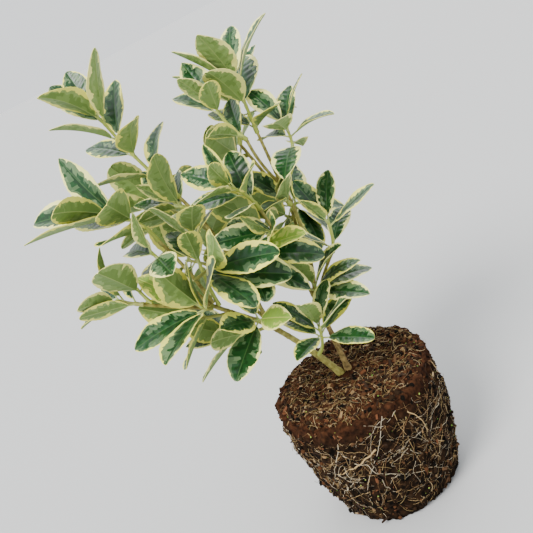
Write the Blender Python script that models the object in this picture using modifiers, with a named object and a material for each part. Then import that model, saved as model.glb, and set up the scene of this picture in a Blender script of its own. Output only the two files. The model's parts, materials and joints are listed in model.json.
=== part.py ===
"""Young variegated euonymus lifted out of its pot, standing on its bare root ball.

Metres, +Z up. The origin is the middle of the flat underside of the root ball, +X is to the right
and +Y away from someone who looks at the front of the plant. Two stems rise from the top of the
ball and fork into boughs, and each bough carries leafy shoots: one stem with pairs of leaves that
cross each other, as the real plant grows. A shoot with all its leaves is one solid.
"""
from collections import namedtuple
from math import atan2, cos, pi, radians, sin, sqrt

import bmesh
import bpy
import numpy as np
from mathutils import Vector, noise
from mathutils.bvhtree import BVHTree

for old in list(bpy.data.objects):
    bpy.data.objects.remove(old, do_unlink=True)

MM = 0.001
GAP = 0.0003
MERGE = 0.000001

# Root ball, as it comes out of a two-litre pot
BALL_HEIGHT = 0.124
BALL_TOP_RADIUS = 0.070
BALL_FOOT_RADIUS = 0.055
BALL_STEPS = 40
PAD_RADIUS = 0.016
SOIL_BUMP = 0.0025
SOIL_SWELL = 0.006
SOIL_SWELL_HEADING = 62.0
SIDE_BUMP = 0.002

# Stems stand on the flat pad in the middle of the soil
STEM_FEET = {"stem_brown": (0.0020, 0.0), "stem_olive": (-0.0064, 0.0)}
FOOT_RISE = 0.003
FLARE = 0.35
LIMB_STEP = 0.009
TUBE_SIDES = 6

# Leafy shoots: twig radii, and a leaf as petiole and blade lofted through diamond sections
TWIG_FOOT = 0.0014
TWIG_TIP = 0.0009
TWIG_STEPS = 16
TWIG_SKIP = 4
BUD = 0.0035
PAIR_GAP = 0.004
PETIOLE = 0.006
PETIOLE_RADIUS = 0.0008
LEAF_THICKNESS = 0.0011
LEAF_CUTS = (0.3, 0.62, 0.88)
WIDEST = 0.8
PAIR_TURN = 90.0
LIGHT_TURN = 0.3
ASIDE = (0, 12, -12, 24, -24, 36, -36, 48, -48, 60, -60)
CLEARANCE = 0.0005

# Angles in degrees, lengths in millimetres. A heading is counted from +X towards +Y and a rise from
# level. Sweep and arch are how much the two change along the limb. A limb leaves its parent this
# far back from the parent's tip.
Limb = namedtuple("Limb", "name parent back heading rise sweep arch length foot tip")
LIMBS = (
    Limb("stem_brown", "", 0, 67, 85, 2, 0, 74, 2.6, 1.8),
    Limb("stem_olive", "", 0, -159, 70, -1, -11, 92, 3.0, 2.1),
    Limb("bough_low_left", "stem_olive", 0, -144, 50, -1, 2, 55, 2.0, 1.7),
    Limb("bough_long_left", "stem_olive", 9, 95, 90, 47, -25, 123, 1.8, 1.4),
    Limb("bough_left_upper", "bough_low_left", 6, 144, 84, 3, -17, 63, 1.6, 1.3),
    Limb("bough_left_front", "bough_low_left", 0, -134, 72, -1, 0, 44, 1.5, 1.3),
    Limb("bough_left_end", "bough_low_left", 10, -176, 32, 16, 9, 53, 1.5, 1.3),
    Limb("bough_mid", "stem_brown", 0, -111, 82, -3, -7, 97, 1.7, 1.4),
    Limb("bough_top", "stem_brown", 5, 24, 66, 10, 29, 100, 1.7, 1.4),
    Limb("bough_top_left", "bough_top", 7, -128, 58, -12, 33, 46, 1.3, 1.2),
    Limb("bough_top_right", "bough_top", 0, 77, 79, 1, 0, 40, 1.3, 1.2),
    Limb("bough_right", "stem_brown", 10, -1, 58, -3, -18, 42, 1.5, 1.3),
    Limb("bough_back", "stem_brown", 15, 67, 54, 2, 4, 84, 1.6, 1.3),
    Limb("bough_back_left", "stem_olive", 16, 117, 44, 1, 9, 83, 1.6, 1.3),
    Limb("bough_back_high", "bough_top", 30, 113, 60, 0, 0, 65, 1.5, 1.3),
)

# The pairs of leaves start at the fraction first of the twig and are counted up to its tip. The
# first pair stands at the angle phase round the twig. Spread and close are the angles between twig
# and leaf at the first and the last pair.
Shoot = namedtuple("Shoot", "name parent back heading rise sweep arch length "
                            "pairs first phase leaf spread close seed")
SHOOTS = (
    Shoot("foliage_high_left", "bough_long_left", 0, 177, 69, 17, 10, 81, 5, 0.29, 51, 46, 45, 30, 18),
    Shoot("foliage_mid_left", "bough_long_left", 15, -177, 39, -40, 22, 6, 3, 0.61, 1, 38, 57, 20, 77),
    Shoot("foliage_round_pair", "bough_low_left", 12, 81, 89, -37, -29, 56, 3, 0.60, 43, 38, 35, 43, 66),
    Shoot("foliage_far_left", "bough_left_upper", 0, -132, 80, -49, -42, 39, 4, 0.23, 67, 52, 57, 21, 30),
    Shoot("foliage_front_left", "bough_left_front", 0, -128, 61, -4, 11, 21, 2, 0.37, 37, 38, 81, 25, 40),
    Shoot("foliage_end_left", "bough_left_end", 0, 162, 26, 0, 14, 17, 3, 0.22, 8, 38, 45, 53, 98),
    Shoot("foliage_low_left", "bough_low_left", 3, -99, 4, -58, 58, 13, 3, 0.70, 167, 49, 60, 20, 3),
    Shoot("foliage_low_mid", "stem_olive", 2, -97, 37, -2, -3, 18, 2, 0.55, 107, 42, 51, 29, 32),
    Shoot("foliage_hanging", "stem_olive", 7, 154, -13, 31, 45, 30, 3, 0.42, 124, 38, 59, 20, 10),
    Shoot("foliage_low_right", "stem_olive", 64, -60, 36, -4, 41, 37, 4, 0.70, 71, 38, 81, 20, 30),
    Shoot("foliage_fork_right", "stem_brown", 4, -50, 50, 0, 30, 10, 4, 0.33, 105, 44, 67, 25, 27),
    Shoot("foliage_right", "bough_right", 0, -40, 61, -18, 20, 28, 3, 0.10, 166, 38, 58, 26, 6),
    Shoot("foliage_top", "bough_top_right", 0, -27, 87, 35, -3, 41, 4, 0.05, 113, 45, 55, 20, 16),
    Shoot("foliage_top_left", "bough_top_left", 0, 146, 55, -1, 28, 31, 3, 0.05, 178, 38, 53, 29, 30),
    Shoot("foliage_mid", "bough_mid", 0, -114, 69, -49, -18, 30, 4, 0.17, 70, 38, 49, 23, 38),
    Shoot("foliage_high_mid", "bough_top", 28, -134, 62, 60, 2, 6, 4, 0.05, 26, 38, 35, 20, 23),
    Shoot("foliage_inner_mid", "bough_mid", 35, -74, 48, -60, -29, 24, 3, 0.05, 92, 38, 39, 32, 8),
    Shoot("foliage_high_right", "bough_top", 9, -21, 34, 21, 60, 49, 4, 0.70, 13, 38, 95, 28, 69),
    Shoot("foliage_inner", "bough_long_left", 96, 46, 48, 52, 14, 11, 3, 0.05, 25, 38, 44, 31, 22),
    Shoot("foliage_back_right", "bough_back", 0, 35, 30, -60, -13, 6, 4, 0.35, 147, 46, 95, 65, 5),
    Shoot("foliage_back_low", "bough_back", 8, 111, 14, 22, 5, 6, 3, 0.43, 116, 46, 83, 55, 73),
    Shoot("foliage_back_left", "bough_back_left", 8, 121, 15, 21, 4, 24, 4, 0.48, 107, 46, 71, 64, 44),
    Shoot("foliage_back_mid", "bough_back_left", 0, 78, 31, -60, -13, 14, 4, 0.10, 170, 46, 89, 64, 72),
    Shoot("foliage_back_high", "bough_back_high", 12, 153, 14, 2, 5, 10, 4, 0.43, 53, 46, 80, 64, 93),
    Shoot("foliage_back_top", "bough_back_high", 0, 30, 64, 5, 7, 35, 4, 0.21, 31, 46, 76, 46, 7),
    Shoot("foliage_back_far", "bough_long_left", 42, 109, 25, 22, 0, 66, 4, 0.59, 112, 46, 60, 63, 1),
    Shoot("foliage_left_inner", "bough_left_upper", 42, -45, 20, 0, 0, 17, 3, 0.50, 55, 50, 60, 25, 21),
    Shoot("foliage_centre", "bough_long_left", 72, -45, 15, 0, 20, 20, 3, 0.50, 30, 50, 60, 25, 692),
    Shoot("foliage_low_reach", "bough_low_left", 25, -180, 20, 0, 0, 21, 2, 0.40, 35, 42, 60, 25, 433),
    Shoot("foliage_end_upper", "bough_left_end", 8, 125, 55, 0, 10, 15, 2, 0.40, 10, 48, 60, 25, 243),
    Shoot("foliage_mid_back", "bough_mid", 25, 125, 15, 0, 0, 13, 3, 0.40, 100, 42, 60, 25, 220),
)

Leaf = namedtuple("Leaf", "base forward side up psi spread length half_width droop fold blunt")


def material(name, colour, roughness):
    mat = bpy.data.materials.new(name)
    mat.use_nodes = True
    shader = mat.node_tree.nodes["Principled BSDF"]
    shader.inputs["Base Color"].default_value = (*colour, 1.0)
    shader.inputs["Roughness"].default_value = roughness
    shader.inputs["Metallic"].default_value = 0.0
    return mat


def new_collection(name):
    collection = bpy.data.collections.new(name)
    bpy.context.scene.collection.children.link(collection)
    return collection


PLANT = new_collection("variegated_euonymus")
SOIL = material("potting_soil", (0.05, 0.03, 0.02), 0.95)
BARK = material("brown_bark", (0.24, 0.14, 0.06), 0.8)
GREEN_BARK = material("olive_bark", (0.36, 0.34, 0.08), 0.6)
FOLIAGE = material("variegated_leaf", (0.22, 0.36, 0.14), 0.4)


def add_object(name, data, mat, collection=PLANT):
    data.name = name
    data.materials.clear()
    data.materials.append(mat)
    obj = bpy.data.objects.new(name, data)
    collection.objects.link(obj)
    return obj


def evaluated_mesh(obj):
    bpy.context.view_layer.update()
    graph = bpy.context.evaluated_depsgraph_get()
    return bpy.data.meshes.new_from_object(obj.evaluated_get(graph))


def to_mesh(obj):
    """Make a curve or a modified object one plain mesh, with its caps welded."""
    mesh = evaluated_mesh(obj)
    bm = bmesh.new()
    bm.from_mesh(mesh)
    bmesh.ops.remove_doubles(bm, verts=bm.verts, dist=MERGE)
    bmesh.ops.recalc_face_normals(bm, faces=bm.faces)
    bm.to_mesh(mesh)
    bm.free()
    name, mat, collection = obj.name, obj.data.materials[0], obj.users_collection[0]
    bpy.data.objects.remove(obj, do_unlink=True)
    return add_object(name, mesh, mat, collection)


def ball_profile():
    """Half outline of the root ball from the middle of the soil to the middle of the underside."""
    top = [(PAD_RADIUS * f, BALL_HEIGHT) for f in (0.0, 1.0)]
    soil = [(BALL_TOP_RADIUS * f, BALL_HEIGHT) for f in (0.42, 0.62, 0.8, 0.93)]
    side = []
    for f in (0.97, 0.9, 0.76, 0.6, 0.44, 0.28, 0.14, 0.06):
        belly = 0.008 * sin(pi * f) ** 0.8
        side.append((BALL_FOOT_RADIUS + (BALL_TOP_RADIUS - BALL_FOOT_RADIUS) * f + belly, BALL_HEIGHT * f))
    under = [(BALL_FOOT_RADIUS, 0.0), (BALL_FOOT_RADIUS * 0.5, 0.0), (0.0, 0.0)]
    return top + soil + side + under


def build_ball():
    """The turned ball, with lumps on its side, a bumpy top and a swell at the back right rim."""
    profile = bpy.data.meshes.new("profile")
    points = [(x, 0.0, z) for x, z in ball_profile()]
    profile.from_pydata(points, [(i, i + 1) for i in range(len(points) - 1)], [])
    ball = add_object("root_ball", profile, SOIL)
    screw = ball.modifiers.new("turn", "SCREW")
    screw.steps = BALL_STEPS
    screw.render_steps = BALL_STEPS
    screw.use_merge_vertices = True
    screw.merge_threshold = MERGE
    ball = to_mesh(ball)
    swell_way = heading_vector(SOIL_SWELL_HEADING, 0.0)
    for vert in ball.data.vertices:
        co = vert.co.copy()
        reach = sqrt(co.x ** 2 + co.y ** 2)
        if co.z > BALL_HEIGHT - MERGE:
            if reach > PAD_RADIUS * 1.1:
                rim = reach / BALL_TOP_RADIUS
                vert.co.z += SOIL_BUMP * (noise.noise(co * 55) + 0.4 * noise.noise(co * 120))
                vert.co.z += SOIL_SWELL * rim ** 2 * max(0.0, co.dot(swell_way) / reach) ** 3
                vert.co.z -= SOIL_BUMP * 2 * max(0.0, rim - 0.85) / 0.08
        elif co.z > MERGE:
            lump = SIDE_BUMP * (noise.noise(co * 40) + 0.6 * noise.noise(co * 90))
            vert.co.x += co.x / reach * lump
            vert.co.y += co.y / reach * lump
    ball.data.shade_smooth()
    ball.data.set_sharp_from_angle(angle=radians(50))
    return ball


def heading_vector(heading, rise):
    h, r = radians(heading), radians(rise)
    return Vector((cos(r) * cos(h), cos(r) * sin(h), sin(r)))


def side_vector(heading):
    return Vector((sin(radians(heading)), -cos(radians(heading)), 0.0))


def grow_path(start, limb, steps):
    """Points along a limb, whose heading and rise turn evenly from its foot to its tip."""
    points = [start.copy()]
    for i in range(steps):
        t = (i + 0.5) / steps
        way = heading_vector(limb.heading + limb.sweep * t, limb.rise + limb.arch * t)
        points.append(points[-1] + way * (limb.length * MM / steps))
    return points


def leave_parent(parent, back, way, radius):
    """Start of a limb that sets off from its parent this way, just clear of the parent's surface."""
    t = 1.0 - back / parent["limb"].length
    place = t * (len(parent["path"]) - 1)
    i = min(int(place), len(parent["path"]) - 2)
    here = parent["path"][i].lerp(parent["path"][i + 1], place - i)
    limb = parent["limb"]
    axis = heading_vector(limb.heading + limb.sweep * t, limb.rise + limb.arch * t)
    thick = parent["foot"] + (parent["tip"] - parent["foot"]) * t
    cosine = max(-1.0, min(1.0, axis.dot(way)))
    sine = sqrt(1.0 - cosine ** 2)
    if back == 0:
        return here + way * (GAP + radius * sine) / cosine
    return here + way * (thick + GAP + radius * abs(cosine)) / sine


def tube(name, points, radii, mat, collection=PLANT):
    curve = bpy.data.curves.new(name, "CURVE")
    curve.dimensions = "3D"
    curve.bevel_depth = 1.0
    curve.bevel_resolution = TUBE_SIDES // 2 - 2
    curve.use_fill_caps = True
    spline = curve.splines.new("POLY")
    spline.points.add(len(points) - 1)
    for point, co, radius in zip(spline.points, points, radii):
        point.co = (*co, 1.0)
        point.radius = radius
    return add_object(name, curve, mat, collection)


def tree_of(obj):
    mesh = evaluated_mesh(obj)
    tree = BVHTree.FromPolygons([v.co for v in mesh.vertices], [p.vertices for p in mesh.polygons])
    bpy.data.meshes.remove(mesh)
    return tree


def build_limb(limb, grown):
    """A stem or bough as one tapering tube. A stem also flares at its flat foot on the soil."""
    foot, tip = limb.foot * MM, limb.tip * MM
    way = heading_vector(limb.heading, limb.rise)
    steps = max(4, round(limb.length * MM / LIMB_STEP))
    if limb.parent:
        path = grow_path(leave_parent(grown[limb.parent], limb.back, way, foot), limb, steps)
        points = path
        radii = [foot + (tip - foot) * i / steps for i in range(steps + 1)]
    else:
        base = Vector((*STEM_FEET[limb.name], BALL_HEIGHT + GAP))
        path = grow_path(base + Vector((0.0, 0.0, FOOT_RISE)), limb, steps)
        points = [base] + path
        radii = [foot + (tip - foot) * i / steps for i in range(steps + 1)]
        radii = [foot * (1 + FLARE)] + radii
    mat = BARK if limb.name == "stem_brown" else GREEN_BARK
    obj = tube(limb.name, points, radii, mat)
    grown[limb.name] = {"limb": limb, "path": path, "foot": foot, "tip": tip, "tree": tree_of(obj)}


def pair_places(shoot):
    """Fractions of the twig at which its pairs sit. The last two are close together at the tip."""
    gap = min(0.3, PAIR_GAP / (shoot.length * MM))
    if shoot.pairs == 1:
        return [1.0]
    lower = shoot.pairs - 1
    if lower == 1:
        return [1.0 - gap, 1.0]
    stretch = 1.0 - gap - shoot.first
    return [shoot.first + stretch * (i / (lower - 1)) ** 0.85 for i in range(lower)] + [1.0]


def deal_leaves(shoot, path):
    """Every leaf of a shoot, in crossing pairs, each a little unlike the next."""
    draw = np.random.default_rng(shoot.seed)
    tips = np.random.default_rng(shoot.seed + 1000)
    leaves = []
    for i, t in enumerate(pair_places(shoot)):
        k = t * TWIG_STEPS
        j = min(int(k), TWIG_STEPS - 1)
        base = path[j].lerp(path[j + 1], k - j)
        heading, rise = shoot.heading + shoot.sweep * t, shoot.rise + shoot.arch * t
        forward, side = heading_vector(heading, rise), side_vector(heading)
        ahead = i / max(shoot.pairs - 1, 1)
        for half in (0, 1):
            psi = shoot.phase + PAIR_TURN * i + 180.0 * half + draw.uniform(-22, 22)
            spread = shoot.spread + (shoot.close - shoot.spread) * ahead + draw.uniform(-12, 12)
            last = 0.9 if i == shoot.pairs - 1 else 1.0
            length = shoot.leaf * MM * last * draw.uniform(0.92, 1.26)
            half_width = length * draw.uniform(0.45, 0.58) / 2
            droop, fold = draw.uniform(5, 40), draw.uniform(3, 20)
            blunt = tips.uniform(0.55, 0.95)
            leaves.append(Leaf(base, forward, side, side.cross(forward), psi, spread, length,
                               half_width, droop, fold, blunt))
    return leaves


def blade_width(leaf, s):
    """Half width of the blade at the fraction s of its length, widest past the middle."""
    peak = WIDEST / (WIDEST + leaf.blunt)
    return leaf.half_width * (s / peak) ** WIDEST * ((1.0 - s) / (1.0 - peak)) ** leaf.blunt


def leaf_way(leaf, aside):
    """Directions of the petiole and of the upper face, which turns part of the way to the light."""
    psi, spread = radians(leaf.psi + aside), radians(leaf.spread)
    outward = cos(psi) * leaf.side + sin(psi) * leaf.up
    petiole = cos(spread) * leaf.forward + sin(spread) * outward
    face = sin(spread) * leaf.forward - cos(spread) * outward
    light = Vector((0.0, 0.0, 1.0)) - petiole.z * petiole
    turn = atan2(face.cross(light).dot(petiole), face.dot(light))
    turn *= LIGHT_TURN * min(1.0, light.length * 1.5)
    return petiole, face * cos(turn) + petiole.cross(face) * sin(turn)


def leaf_rings(leaf, aside, extra=0.0):
    """Four-point sections from inside the twig to near the blade's tip, and the tip itself."""
    way, face = leaf_way(leaf, aside)
    across = way.cross(face)
    droop, fold = radians(leaf.droop), radians(leaf.fold)
    thick = LEAF_THICKNESS / 2 + extra
    size = PETIOLE_RADIUS + extra
    rings = [(leaf.base + across * size, leaf.base + face * size,
              leaf.base - across * size, leaf.base - face * size)]
    middle, last = leaf.base + way * PETIOLE, 0.0
    rings.append((middle + across * size * 1.4, middle + face * size,
                  middle - across * size * 1.4, middle - face * size))
    for s in (*LEAF_CUTS, 1.0):
        bend = droop * (s + last) / 2
        middle = middle + (cos(bend) * way - sin(bend) * face) * leaf.length * (s - last)
        last = s
        lift = cos(droop * s) * face + sin(droop * s) * way
        width = blade_width(leaf, s) + extra
        rise = lift * sin(fold) * width
        rings.append((middle + across * cos(fold) * width + rise, middle + lift * thick,
                      middle - across * cos(fold) * width + rise, middle - lift * thick))
    return rings[:-1], middle + way * extra


def loft(rings, tip):
    """Points and faces of a closed loft through four-point rings that ends in a tip."""
    points = [point for ring in rings for point in ring] + [tip]
    faces = [(3, 2, 1, 0)]
    for i in range(len(rings) - 1):
        for k in range(4):
            a, b = 4 * i + k, 4 * i + (k + 1) % 4
            faces.append((a, b, b + 4, a + 4))
    end = 4 * (len(rings) - 1)
    faces += [(end + k, end + (k + 1) % 4, end + 4) for k in range(4)]
    return points, faces


def is_clear(rings, tip, blade_only, trees):
    shape = loft(rings[2:] if blade_only else rings, tip)
    tree = BVHTree.FromPolygons(*shape)
    return not any(tree.overlap(other) for other in trees)


def place_leaf(leaf, others, siblings):
    """The leaf's rings where it clears all else, turned aside as need be, or None."""
    for aside in ASIDE:
        rings, tip = leaf_rings(leaf, aside, CLEARANCE)
        if not is_clear(rings, tip, False, others) or not is_clear(rings, tip, True, siblings):
            continue
        return leaf_rings(leaf, aside)
    return None


def join_shoot(twig, leaves):
    """One union of the twig with all its leaves. Sealed hollows and loose scraps are dropped."""
    for solver in ("EXACT", "MANIFOLD"):
        union = twig.modifiers.new("leaves", "BOOLEAN")
        union.operation = "UNION"
        union.operand_type = "COLLECTION"
        union.collection = leaves
        union.solver = solver
        mesh = evaluated_mesh(twig)
        twig.modifiers.remove(union)
        bm = bmesh.new()
        bm.from_mesh(mesh)
        bmesh.ops.remove_doubles(bm, verts=bm.verts, dist=MERGE)
        keep_largest(bm)
        closed = all(edge.is_manifold for edge in bm.edges)
        bm.to_mesh(mesh)
        bm.free()
        if closed:
            break
    name, mat = twig.name, twig.data.materials[0]
    bpy.data.objects.remove(twig, do_unlink=True)
    for obj in list(leaves.objects):
        bpy.data.objects.remove(obj, do_unlink=True)
    bpy.data.collections.remove(leaves)
    return add_object(name, mesh, mat)


def keep_largest(bm):
    """Drop every separate shell but the one with the most faces."""
    left, shells = set(bm.faces), []
    while left:
        stack, shell = [left.pop()], []
        while stack:
            face = stack.pop()
            shell.append(face)
            for edge in face.edges:
                for near in edge.link_faces:
                    if near in left:
                        left.remove(near)
                        stack.append(near)
        shells.append(shell)
    shells.sort(key=len)
    for shell in shells[:-1]:
        bmesh.ops.delete(bm, geom=shell, context="FACES")


def build_twig(shoot, grown):
    """The shoot's own stem, from its parent to the bud at its tip."""
    way = heading_vector(shoot.heading, shoot.rise)
    path = grow_path(leave_parent(grown[shoot.parent], shoot.back, way, TWIG_FOOT), shoot, TWIG_STEPS)
    end = heading_vector(shoot.heading + shoot.sweep, shoot.rise + shoot.arch)
    points = path[::TWIG_SKIP] + [path[-1] + end * BUD]
    steps = len(points) - 2
    radii = [TWIG_FOOT + (TWIG_TIP - TWIG_FOOT) * i / steps for i in range(steps + 1)] + [TWIG_TIP * 0.4]
    obj = tube(shoot.name, points, radii, FOLIAGE)
    return {"shoot": shoot, "path": path, "object": obj, "tree": tree_of(obj)}


def build_shoots(grown):
    """All twigs first, then the leaves of one shoot after the other, each clear of all before."""
    twigs = [build_twig(shoot, grown) for shoot in SHOOTS]
    wood = [limb["tree"] for limb in grown.values()]
    placed = []
    for twig in twigs:
        shoot = twig["shoot"]
        others = wood + [other["tree"] for other in twigs if other is not twig] + placed
        leaves = new_collection(shoot.name + "_leaves")
        siblings, own = [], []
        for leaf in deal_leaves(shoot, twig["path"]):
            found = place_leaf(leaf, others, siblings)
            if found is None:
                continue
            rings, tip = found
            points, faces = loft(rings, tip)
            mesh = bpy.data.meshes.new("leaf")
            mesh.from_pydata(points, [], faces)
            obj = to_mesh(add_object("leaf", mesh, FOLIAGE, leaves))
            own.append(BVHTree.FromPolygons(points, faces))
            siblings.append(BVHTree.FromPolygons(*loft(rings[2:], tip)))
        placed += own
        join_shoot(to_mesh(twig["object"]), leaves)


build_ball()
limbs_grown = {}
for entry in LIMBS:
    build_limb(entry, limbs_grown)
build_shoots(limbs_grown)
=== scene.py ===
import json
from collections import namedtuple
from math import atan2, cos, pi, radians, sin, sqrt

import bpy
import numpy as np
from mathutils import Matrix, Vector, noise
from mathutils.bvhtree import BVHTree

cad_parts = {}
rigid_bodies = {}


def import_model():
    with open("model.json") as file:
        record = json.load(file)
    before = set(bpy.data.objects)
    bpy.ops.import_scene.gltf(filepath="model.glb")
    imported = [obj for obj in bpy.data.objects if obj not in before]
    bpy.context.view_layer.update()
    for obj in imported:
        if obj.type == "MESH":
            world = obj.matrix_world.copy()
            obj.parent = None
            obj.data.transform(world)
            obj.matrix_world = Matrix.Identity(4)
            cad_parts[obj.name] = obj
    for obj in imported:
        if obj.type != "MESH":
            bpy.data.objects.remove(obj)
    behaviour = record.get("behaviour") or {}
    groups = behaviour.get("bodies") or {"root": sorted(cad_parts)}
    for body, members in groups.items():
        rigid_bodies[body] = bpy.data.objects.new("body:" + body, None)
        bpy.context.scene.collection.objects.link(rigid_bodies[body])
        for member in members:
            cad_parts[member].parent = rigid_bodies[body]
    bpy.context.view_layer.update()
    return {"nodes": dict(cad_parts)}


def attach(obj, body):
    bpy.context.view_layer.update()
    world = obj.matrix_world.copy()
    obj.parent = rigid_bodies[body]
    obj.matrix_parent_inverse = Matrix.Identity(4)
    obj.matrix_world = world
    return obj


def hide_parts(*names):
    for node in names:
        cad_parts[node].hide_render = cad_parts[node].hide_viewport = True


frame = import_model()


# Viewing side. The plant is held tilted to the left, so the camera is rolled instead of the plant.
# It looks down on the root ball from the front, with a 50 mm lens.
FRAME_PIXELS = 533.0
LENS = 50.0
SENSOR = 36.0
CLIP_START = 0.01
LOOK_DOWN = 21.0
ROLL = 28.0
BALL_HEIGHT = 0.124
METRES_PER_PIXEL = 0.000875
BALL_TOP_PIXEL = (347.0, 371.0)

look = Vector((0.0, cos(radians(LOOK_DOWN)), -sin(radians(LOOK_DOWN))))
level = Vector((1.0, 0.0, 0.0))
raised = level.cross(look)
right = level * cos(radians(ROLL)) - raised * sin(radians(ROLL))
up = level * sin(radians(ROLL)) + raised * cos(radians(ROLL))
distance = FRAME_PIXELS * LENS / SENSOR * METRES_PER_PIXEL
place = Vector((0.0, 0.0, BALL_HEIGHT)) - look * distance
place -= right * (BALL_TOP_PIXEL[0] - FRAME_PIXELS / 2) * METRES_PER_PIXEL
place += up * (BALL_TOP_PIXEL[1] - FRAME_PIXELS / 2) * METRES_PER_PIXEL

camera_data = bpy.data.cameras.new("camera")
camera_data.lens = LENS
camera_data.sensor_width = SENSOR
camera_data.clip_start = CLIP_START
camera = bpy.data.objects.new("camera", camera_data)
bpy.context.scene.collection.objects.link(camera)
camera.matrix_world = Matrix([*zip(right, up, -look, place), (0.0, 0.0, 0.0, 1.0)])
bpy.context.scene.camera = camera


# Studio: a plain pale floor under the root ball, an even pale sky, and two wide soft lights, the
# stronger from the upper left in front, as daylight in open shade falls.
FLOOR_SIZE = 30.0
FLOOR_COLOUR = (0.495, 0.502, 0.508)
FLOOR_ROUGHNESS = 0.9
SKY_COLOUR = (0.96, 0.98, 1.0)
SKY_STRENGTH = 1.35
# Each light: its name, where it shines from, its power, its width in degrees and its tint.
LIGHTS = (
    ("key_light", (-1.0, -1.1, 1.6), 4.6, 25.0, (1.0, 0.98, 0.94)),
    ("back_light", (0.7, 1.4, 1.3), 1.4, 50.0, (1.0, 1.0, 0.98)),
)

bpy.ops.object.select_all(action="DESELECT")
bpy.ops.mesh.primitive_plane_add(size=FLOOR_SIZE, location=(0.0, 0.0, 0.0))
floor = bpy.context.object
floor.name = "studio_floor"
floor_paint = bpy.data.materials.new("pale_floor")
floor_paint.use_nodes = True
floor_shader = floor_paint.node_tree.nodes["Principled BSDF"]
floor_shader.inputs["Base Color"].default_value = (*FLOOR_COLOUR, 1.0)
floor_shader.inputs["Roughness"].default_value = FLOOR_ROUGHNESS
floor.data.materials.append(floor_paint)

sky = bpy.data.worlds.new("pale_sky")
sky.use_nodes = True
backdrop = sky.node_tree.nodes["Background"]
backdrop.inputs["Color"].default_value = (*SKY_COLOUR, 1.0)
backdrop.inputs["Strength"].default_value = SKY_STRENGTH
bpy.context.scene.world = sky

for light_name, light_from, power, softness, tint in LIGHTS:
    light_data = bpy.data.lights.new(light_name, "SUN")
    light_data.energy = power
    light_data.angle = radians(softness)
    light_data.color = tint
    light = bpy.data.objects.new(light_name, light_data)
    bpy.context.scene.collection.objects.link(light)
    light.location = light_from
    light.rotation_euler = (-Vector(light_from)).to_track_quat("-Z", "Y").to_euler()


# Root ball: dark moist potting compost held together by fine roots, in the round tapered shape of
# the pot it came out of, with the flat underside it stands on. Its top is loose, lumpy and higher
# at the back right, and red-brown where it has dried along the rim.
FOOT_RADIUS = 0.055
TOP_RADIUS = 0.070
BELLY = 0.008
SIDE_LEVELS = (0.03, 0.06, 0.14, 0.21, 0.28, 0.36, 0.44, 0.52, 0.6, 0.68, 0.76, 0.83, 0.9, 0.94, 0.97)
SOIL_RINGS = (0.93, 0.8, 0.62, 0.42, 0.22, 0.08)
EDGE_COUNT = 96
SWELL = 0.006
SWELL_HEADING = 62.0
STEM_CLEARING = 0.017
RIM_START = 0.85
RIM_WIDTH = 0.08
RIM_DROP = 0.005
FLAT_FOOT = 0.004
ROUNDING = 2
# Each layer of relief: its name, the grain of its noise and its height.
RELIEF = (("lumps", 0.022, 0.0062), ("clods", 0.008, 0.0056), ("crumbs", 0.0026, 0.0032))
RELIEF_DEPTH = 2
RELIEF_MIDDLE = 0.55


def ball_radius(f):
    return FOOT_RADIUS + (TOP_RADIUS - FOOT_RADIUS) * f + BELLY * sin(pi * f) ** 0.8


bpy.ops.object.select_all(action="DESELECT")
bpy.ops.mesh.primitive_circle_add(vertices=EDGE_COUNT, radius=FOOT_RADIUS, fill_type="TRIFAN")
ball = bpy.context.object
ball.name = "root_ball_compost"
bpy.ops.object.mode_set(mode="EDIT")
bpy.ops.mesh.select_all(action="SELECT")
bpy.ops.mesh.flip_normals()
bpy.ops.mesh.select_all(action="DESELECT")
bpy.ops.mesh.select_mode(type="EDGE")
bpy.ops.mesh.select_non_manifold(extend=False)
reach, height = FOOT_RADIUS, 0.0
outline = [(ball_radius(f), BALL_HEIGHT * f) for f in SIDE_LEVELS]
outline += [(TOP_RADIUS * f, BALL_HEIGHT) for f in SOIL_RINGS]
for next_reach, next_height in outline:
    bpy.ops.mesh.extrude_region_move(TRANSFORM_OT_translate={"value": (0.0, 0.0, next_height - height)})
    grow = next_reach / reach
    bpy.ops.transform.resize(value=(grow, grow, 1.0), center_override=(0.0, 0.0, next_height))
    reach, height = next_reach, next_height
bpy.ops.mesh.edge_face_add()
bpy.ops.mesh.poke()
bpy.ops.mesh.select_all(action="SELECT")
bpy.ops.mesh.normals_make_consistent(inside=False)
bpy.ops.object.mode_set(mode="OBJECT")

swell_way = Vector((cos(radians(SWELL_HEADING)), sin(radians(SWELL_HEADING)), 0.0))
for vertex in ball.data.vertices:
    out = sqrt(vertex.co.x ** 2 + vertex.co.y ** 2)
    if vertex.co.z > BALL_HEIGHT - 1e-6 and out > STEM_CLEARING:
        rim = out / TOP_RADIUS
        vertex.co.z += SWELL * rim ** 2 * max(0.0, vertex.co.dot(swell_way) / out) ** 3
        vertex.co.z -= RIM_DROP * max(0.0, rim - RIM_START) / RIM_WIDTH

smooth = ball.modifiers.new("round_off", "SUBSURF")
smooth.levels = ROUNDING
smooth.render_levels = ROUNDING
for relief_name, grain, strength in RELIEF:
    pattern = bpy.data.textures.new(relief_name, "CLOUDS")
    pattern.noise_scale = grain
    pattern.noise_depth = RELIEF_DEPTH
    displace = ball.modifiers.new(relief_name, "DISPLACE")
    displace.texture = pattern
    displace.texture_coords = "LOCAL"
    displace.strength = strength
    displace.mid_level = RELIEF_MIDDLE
bpy.context.view_layer.objects.active = ball
for modifier in list(ball.modifiers):
    bpy.ops.object.modifier_apply(modifier=modifier.name)
for vertex in ball.data.vertices:
    foot = min(1.0, max(0.0, vertex.co.z / FLAT_FOOT))
    vertex.co.z = max(0.0, vertex.co.z * foot)
ball.data.shade_smooth()


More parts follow.
